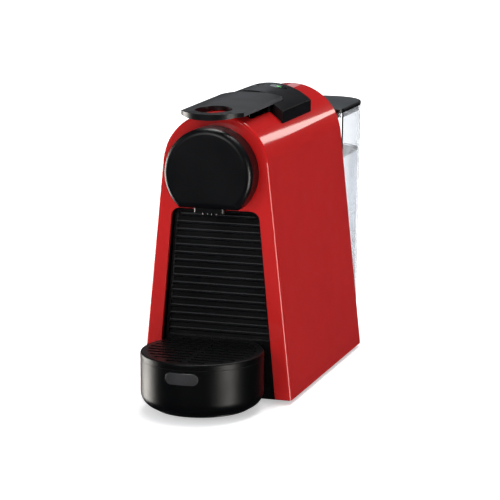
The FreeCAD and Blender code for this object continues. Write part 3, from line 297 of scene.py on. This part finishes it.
def milky(name, colour, rough, see=0.25):
    """Translucent silicone or natural plastic."""
    r = Recipe(name)
    r.colour(r.mix(r.ranged(r.noise(120, 3), 0, 1), colour, tuple(c * 0.88 for c in colour)))
    r.rough(r.ranged(r.noise(80, 3), rough - 0.06, rough + 0.08))
    r.set(Subsurface_Weight=see, Subsurface_Scale=0.002)
    r.normal(r.bump(r.noise(1200, 2), 0.08, 0.0001))
    return r.material


def board():
    """Circuit board laminate with a faint pattern of copper lines under green lacquer."""
    r = Recipe("circuit_board")
    cells = r.add("ShaderNodeTexVoronoi", distance="CHEBYCHEV", feature="DISTANCE_TO_EDGE")
    cells.inputs["Scale"].default_value = 260
    r.link(r.place, cells.inputs["Vector"])
    tracks = r.ranged(cells.outputs["Distance"], 1, 0, 0.03, 0.06)
    r.colour(r.mix(tracks, (0.010, 0.085, 0.030), (0.03, 0.19, 0.07)))
    r.rough(r.ranged(r.noise(200, 3), 0.25, 0.4))
    r.set(Coat_Weight=0.5)
    r.normal(r.bump(tracks, 0.2, 0.0001))
    return r.material


def lamp_icon(name, colour, power):
    """A lit, slightly uneven light-guide."""
    r = Recipe(name)
    r.colour(r.mix(r.ranged(r.noise(700, 2), 0, 1), colour, tuple(c * 0.8 for c in colour)))
    r.rough(r.ranged(r.noise(300, 2), 0.3, 0.4))
    r.link(r.mix(r.ranged(r.noise(500, 2), 0, 1), colour, tuple(c * 0.85 for c in colour)),
           r.shader.inputs["Emission Color"])
    r.set(Emission_Strength=power)
    return r.material


RED = red_gloss()
BLACK = black_plastic("black_satin_plastic")
HEAD_BLACK = black_plastic("black_head_plastic", (0.0016, 0.0018, 0.0028), 0.36, 0.05)
TRAY_BLACK = black_plastic("black_tray_plastic", (0.0012, 0.0014, 0.0020), 0.40, 0.06, level=0.25)
LEVER_BLACK = black_plastic("black_lever_plastic", (0.0022, 0.0025, 0.0036), 0.40, 0.04, 0.05,
                            level=0.35)
# STRIP_GREY and FRAME_GREY take their own paler edge colours: partly wear, partly a painted edge
# highlight.
STRIP_GREY = black_plastic("grey_strip_plastic", (0.060, 0.061, 0.064), 0.36, 0.06,
                           edge=(0.12, 0.12, 0.125))
# The louvre lips take a paler black than the container: a painted highlight along each louvre's
# front edge.
LIP_PAINTED_HIGHLIGHT = black_plastic("lip_plastic_painted_highlight", (0.020, 0.021, 0.023), 0.30, 0.04)
SMOKED = black_plastic("smoked_window_plastic", (0.004, 0.0045, 0.005), 0.16, 0.02, 0.5)
GLOSS_BLACK = black_plastic("black_gloss_plastic", rough=0.2, grain=0.03, coat=0.6)
FRAME_GREY = black_plastic("grey_frame_plastic", (0.035, 0.036, 0.038), 0.5, 0.15,
                           edge=(0.09, 0.09, 0.095))
RUBBER = rubber()
STEEL = metal("brushed_steel", (0.58, 0.58, 0.59), 0.28, (1, 1, 14))
CAST = metal("cast_aluminium", (0.50, 0.50, 0.52), 0.45, (1, 1, 1), 0.5)
BRASS = metal("turned_brass", (0.62, 0.44, 0.18), 0.28, (14, 1, 1))
CLEAR = see_through("clear_tank_plastic", (0.955, 0.965, 0.975), (0.42, 0.45, 0.50), 1.42, 0.02)
WATER = see_through("water", (0.90, 0.915, 0.93), (0.45, 0.48, 0.52), 1.33, 0.004)
SILICONE = milky("silicone", (0.62, 0.62, 0.58), 0.4)
WHITE = milky("white_plastic", (0.72, 0.72, 0.69), 0.42, 0.1)
BOARD = board()
GREEN_LIGHT = lamp_icon("green_light", (0.08, 0.50, 0.10), 0.8)
PALE_LIGHT = lamp_icon("pale_light", (0.34, 0.36, 0.36), 0.35)

FINISH = {
    "red_gloss": RED, "black_satin": BLACK, "black_gloss": GLOSS_BLACK, "frame_grey": FRAME_GREY,
    "clear_plastic": CLEAR, "rubber_black": RUBBER, "steel": STEEL, "aluminium_cast": CAST,
    "brass_part": BRASS, "board_green": BOARD, "silicone_hose": SILICONE,
    "icon_light": SMOKED, "white_plastic": WHITE,
}
OWN_FINISH = {
    "drip_tray": TRAY_BLACK, "drip_grid": TRAY_BLACK, "brew_head_cover": HEAD_BLACK,
    "lever": LEVER_BLACK, "saddle": LEVER_BLACK,
}


def coat_cad_nodes():
    """Every CAD node takes the finish of its slot in the record, or one of its own."""
    for name, node in NODES.items():
        node.data.materials.clear()
        node.data.materials.append(OWN_FINISH.get(name, FINISH[SLOT_OF[name]]))


coat_cad_nodes()


# ---------------------------------------------------------------- pieces with softened edges

# The lever's handle, measured from its box: how deep it is, and how long its round tip.
LEVER_DEPTH, TIP_LENGTH, SIDE_MARGIN = 12 * MM, 16 * MM, 0.2 * MM
EAR_SHARE, SIDE_SHARE = 0.3, 0.25
STRIP_DEPTH = 8 * MM

MERGE_DISTANCE = 0.002 * MM
FLAT_ANGLE = math.radians(0.3)


def place_piece(name, mesh, body):
    """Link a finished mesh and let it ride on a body."""
    piece = bpy.data.objects.new(name, mesh)
    scene.collection.objects.link(piece)
    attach(piece, body)
    return piece


def even_normals(piece):
    """Smooth shading in which the large faces stay flat."""
    for face in piece.data.polygons:
        face.use_smooth = True
    piece.modifiers.new("even_normals", "WEIGHTED_NORMAL").weight = 100


def softened(name, width, weigh=None, sharp_angle=30, steps=3):
    """A detailed piece for a CAD node: the same form with every sharp edge rounded off.

    weigh gives an edge's share of the width from its middle point; without it all are equal."""
    mesh = NODES[name].data.copy()
    mesh.name = name + "_shell"
    custom = mesh.attributes.get("custom_normal")
    if custom:
        mesh.attributes.remove(custom)
    form = bmesh.new()
    form.from_mesh(mesh)
    bmesh.ops.remove_doubles(form, verts=form.verts, dist=MERGE_DISTANCE)
    bmesh.ops.dissolve_limit(form, angle_limit=FLAT_ANGLE, verts=form.verts, edges=form.edges)
    share = form.edges.layers.float.new("bevel_weight_edge")
    limit = math.radians(sharp_angle)
    for edge in form.edges:
        if edge.is_manifold and edge.calc_face_angle() > limit:
            middle = (edge.verts[0].co + edge.verts[1].co) / 2
            edge[share] = weigh(middle) if weigh else 1
    form.to_mesh(mesh)
    form.free()
    piece = place_piece(name + "_shell", mesh, BODY_OF[name])
    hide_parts(name)
    rounding = piece.modifiers.new("rounding", "BEVEL")
    rounding.limit_method = "WEIGHT"
    rounding.width = width
    rounding.segments = steps
    even_normals(piece)
    return piece


def lever_share(place):
    """Full rounding round the lever's tip and its grip hole, little along its straight sides."""
    low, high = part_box("lever")
    below_top = place.z < high[2] - LEVER_DEPTH
    on_side = abs(place.x) > high[0] - SIDE_MARGIN and place.y > low[1] + TIP_LENGTH
    if below_top:
        return EAR_SHARE
    return SIDE_SHARE if on_side else 1.0


EDGE_WIDTHS = {
    "saddle": 0.4 * MM, "espresso_button": 0.3 * MM, "lungo_button": 0.3 * MM,
    "brew_head_cover": 0.4 * MM, "coffee_outlet": 0.8 * MM, "capsule_container": 0.2 * MM,
    "drip_tray": 0.5 * MM, "drip_grid": 0.35 * MM, "tank_lid": 0.35 * MM, "housing": 0.5 * MM,
    "badge_plate": 0.12 * MM, "rear_panel": 0.4 * MM,
}
shells = {name: softened(name, width) for name, width in EDGE_WIDTHS.items()}
shells["lever"] = softened("lever", 1.2 * MM, lever_share, steps=4)


def strip_on_lever():
    """The lever's straight sides carry a paler satin strip."""
    mesh = shells["lever"].data
    mesh.materials.append(STRIP_GREY)
    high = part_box("lever")[1]
    for face in mesh.polygons:
        outward = abs(face.normal.x) > 0.99 and abs(face.center.x) > high[0] - SIDE_MARGIN / 2
        if outward and face.center.z > high[2] - STRIP_DEPTH:
            face.material_index = 1


strip_on_lever()


# ---------------------------------------------------------------- louvre lips

def louvre_lips():
    """A thin rounded lip along the front edge of each louvre on the capsule container, in a paler
    black that paints a highlight line along each louvre.
    """
    low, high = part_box("capsule_container")
    front = low[1] + 0.35 * MM
    lip_radius, pitch, first, count, sides = 0.42 * MM, 5.4 * MM, 47.4 * MM, 16, 8
    half_low, half_high, knee = high[0] - 4.0 * MM, 30.2 * MM, 128 * MM
    corner_depth, corner_inset, end_size = 4 * MM, 3.5 * MM, 0.35
    form = bmesh.new()
    for number in range(count):
        height = first + number * pitch
        half = half_high + (half_low - half_high) * (knee - height) / (knee - low[2])
        if height > knee - corner_depth:
            half -= corner_inset
        rows = []
        for x, size in ((-half - lip_radius, end_size), (-half, 1), (half, 1),
                        (half + lip_radius, end_size)):
            ring = []
            for side in range(sides):
                angle = 2 * math.pi * side / sides
                ring.append(form.verts.new((x, front - size * lip_radius * math.cos(angle),
                                            height + size * lip_radius * math.sin(angle))))
            rows.append(ring)
        for left, right in zip(rows, rows[1:]):
            for side in range(sides):
                after = (side + 1) % sides
                form.faces.new((left[side], right[side], right[after], left[after]))
        form.faces.new(rows[0])
        form.faces.new(rows[-1][::-1])
    bmesh.ops.recalc_face_normals(form, faces=form.faces)
    mesh = bpy.data.meshes.new("louvre_lips")
    form.to_mesh(mesh)
    form.free()
    mesh.materials.append(LIP_PAINTED_HIGHLIGHT)
    even_normals(place_piece("louvre_lips", mesh, "tray_unit"))


louvre_lips()


# ---------------------------------------------------------------- water in the tank

def rounded_ring(half, front, rear, front_turn, rear_turn, steps=10):
    """The plan of the tank: a rectangle with smaller corners in front and larger ones behind."""
    corners = [(half - front_turn, front + front_turn, front_turn, -90),
               (half - rear_turn, rear - rear_turn, rear_turn, 0),
               (rear_turn - half, rear - rear_turn, rear_turn, 90),
               (front_turn - half, front + front_turn, front_turn, 180)]
    ring = []
    for x, y, turn, start in corners:
        for step in range(steps + 1):
            angle = math.radians(start + 90 * step / steps)
            ring.append((x + turn * math.cos(angle), y + turn * math.sin(angle)))
    return ring


def skin(rings):
    """A closed mesh through rings of equal point count; each ring is a list of 3-D points."""
    form = bmesh.new()
    rows = [[form.verts.new(point) for point in ring] for ring in rings]
    for lower, upper in zip(rows, rows[1:]):
        for a, b, c, d in zip(lower, lower[1:] + lower[:1], upper[1:] + upper[:1], upper):
            form.faces.new((a, b, c, d))
    form.faces.new(rows[0][::-1])
    form.faces.new(rows[-1])
    bmesh.ops.recalc_face_normals(form, faces=form.faces)
    mesh = bpy.data.meshes.new("skin")
    form.to_mesh(mesh)
    form.free()
    return mesh


def water_in_tank():
    """Water up to three quarters of the tank, with a meniscus that climbs its walls."""
    low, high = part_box("water_tank")
    wall, taper, gap, bottom = 1.8 * MM, 2 * MM, 0.12 * MM, 2.4 * MM
    front_turn, rear_turn, least_turn = 3.2 * MM, 26.2 * MM, 0.4 * MM
    filled = 0.762
    level = low[2] + filled * (high[2] - low[2])
    half_top, front_top, rear_top = high[0] - wall, low[1] + wall, high[1] - wall

    def ring(height, draw_in):
        narrow = taper * (high[2] - height) / (high[2] - low[2])
        inset = narrow + draw_in
        plan = rounded_ring(half_top - inset, front_top + inset, rear_top - inset,
                            max(front_turn - inset, least_turn), rear_turn - inset)
        return [(x, y, height) for x, y in plan]

    rings = [ring(low[2] + bottom + gap, 1.5 * MM), ring(low[2] + bottom + 1.5 * MM, gap)]
    rings += [ring(level + 1.2 * MM, gap), ring(level + 0.4 * MM, 0.5 * MM), ring(level, 1.6 * MM)]
    mesh = skin(rings)
    mesh.name = "tank_water"
    mesh.materials.append(WATER)
    even_normals(place_piece("tank_water", mesh, "tank"))


water_in_tank()


# ---------------------------------------------------------------- glyphs on the buttons

def cup_glyph(name, node, body, size, material):
    """A plain cup with a handle, laid on the round top of a button."""
    low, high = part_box(node)
    centre_x, centre_y = (low[0] + high[0]) / 2, (low[1] + high[1]) / 2
    radius, axis_z = 44.36 * MM, 161.4 * MM
    outline = [(-1.0, 0.9), (-0.62, -0.75), (-0.45, -0.9), (0.45, -0.9), (0.62, -0.75), (1.0, 0.9)]
    handle_x, handle_y, handle_inner, handle_outer = 0.8, 0.15, 0.42, 0.68
    form = bmesh.new()

    def lifted(x, y):
        across = centre_x + x * size
        return across, centre_y + y * size, axis_z + math.sqrt(radius ** 2 - across ** 2)

    def bend(reach):
        angles = [math.radians(80 - 20 * step) for step in range(9)]
        return [form.verts.new(lifted(handle_x + reach * math.cos(angle),
                                      handle_y + reach * math.sin(angle))) for angle in angles]

    form.faces.new([form.verts.new(lifted(x, y)) for x, y in outline])
    inner, outer = bend(handle_inner), bend(handle_outer)
    for a, b, c, d in zip(inner, inner[1:], outer[1:], outer):
        form.faces.new((a, b, c, d))
    mesh = bpy.data.meshes.new(name)
    form.to_mesh(mesh)
    form.free()
    mesh.materials.append(material)
    piece = place_piece(name, mesh, body)
    solid = piece.modifiers.new("thickness", "SOLIDIFY")
    solid.thickness = 0.08 * MM
    solid.offset = 0


cup_glyph("espresso_glyph", "espresso_icon", "espresso_key", 1.15 * MM, PALE_LIGHT)
cup_glyph("lungo_glyph", "lungo_icon", "lungo_key", 1.5 * MM, GREEN_LIGHT)


# ---------------------------------------------------------------- floor

def make_floor():
    """A wide pale sheet that the machine stands on, which brightens into the background."""
    mesh = bpy.data.meshes.new("floor")
    sheet = bmesh.new()
    bmesh.ops.create_grid(sheet, x_segments=8, y_segments=8, size=6)
    sheet.to_mesh(mesh)
    sheet.free()
    floor = bpy.data.objects.new("floor", mesh)
    scene.collection.objects.link(floor)
    r = Recipe("pale_floor")
    r.colour(r.mix(r.ranged(r.noise(3, 2), 0, 1), (0.86, 0.86, 0.86), (0.88, 0.88, 0.88)))
    r.rough(r.ranged(r.noise(8, 2), 0.75, 0.85))
    reach = r.add("ShaderNodeVectorMath", operation="LENGTH")
    r.link(r.place, reach.inputs[0])
    glow = r.ranged(reach.outputs["Value"], 0.45, 1.0, 0.12, 0.6)
    r.link(glow, r.shader.inputs["Emission Strength"])
    r.set(Specular_IOR_Level=0.1, Emission_Color=(1, 1, 1, 1))
    mesh.materials.append(r.material)
    floor.visible_glossy = False


make_floor()
